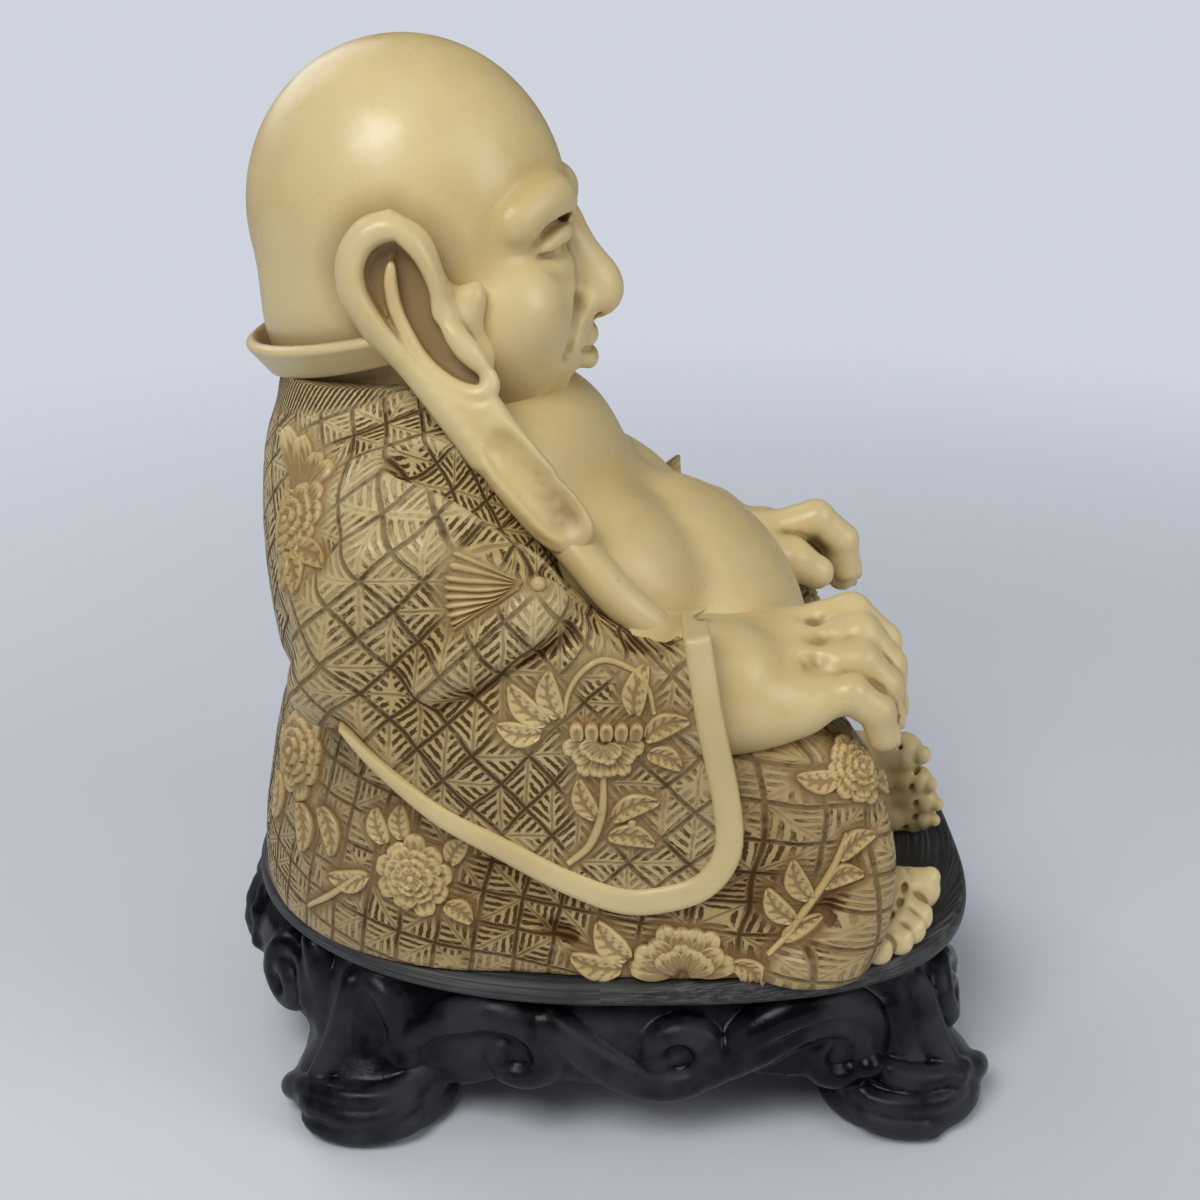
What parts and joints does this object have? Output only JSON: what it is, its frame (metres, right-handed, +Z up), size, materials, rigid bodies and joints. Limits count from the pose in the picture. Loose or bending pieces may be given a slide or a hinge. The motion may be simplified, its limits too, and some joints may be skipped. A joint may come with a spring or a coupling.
{
  "type": "laughing buddha statue",
  "caption": "Seated laughing buddha in a patterned robe, cast in ivory-coloured resin, on a black oval stand with scrolled feet.",
  "frame": {"origin": "on the table, under the middle of the whole statue", "axes": "+Z up; the figure faces -Y, so its left side is at +X and its right side at -X"},
  "size_m": [0.1964, 0.2441, 0.3208],
  "materials": {
    "ivory_resin": "satin, with a brown patina in the engraving",
    "plate_paint": "brushed matte black",
    "frame_paint": "semi-gloss black, worn on the ridges",
    "felt": "felt",
    "zinc_steel": "zinc plated"
  },
  "bodies": {
    "root": {"figure": "ivory_resin", "stand_plate": "plate_paint", "stand_frame": "frame_paint", "felt_pad_left_rear": "felt", "felt_pad_right_rear": "felt", "felt_pad_right_front": "felt", "felt_pad_left_front": "felt", "fixing_washer_front": "zinc_steel", "fixing_washer_rear": "zinc_steel", "fixing_screw_front": "zinc_steel", "fixing_screw_rear": "zinc_steel"}
  },
  "joints": []
}
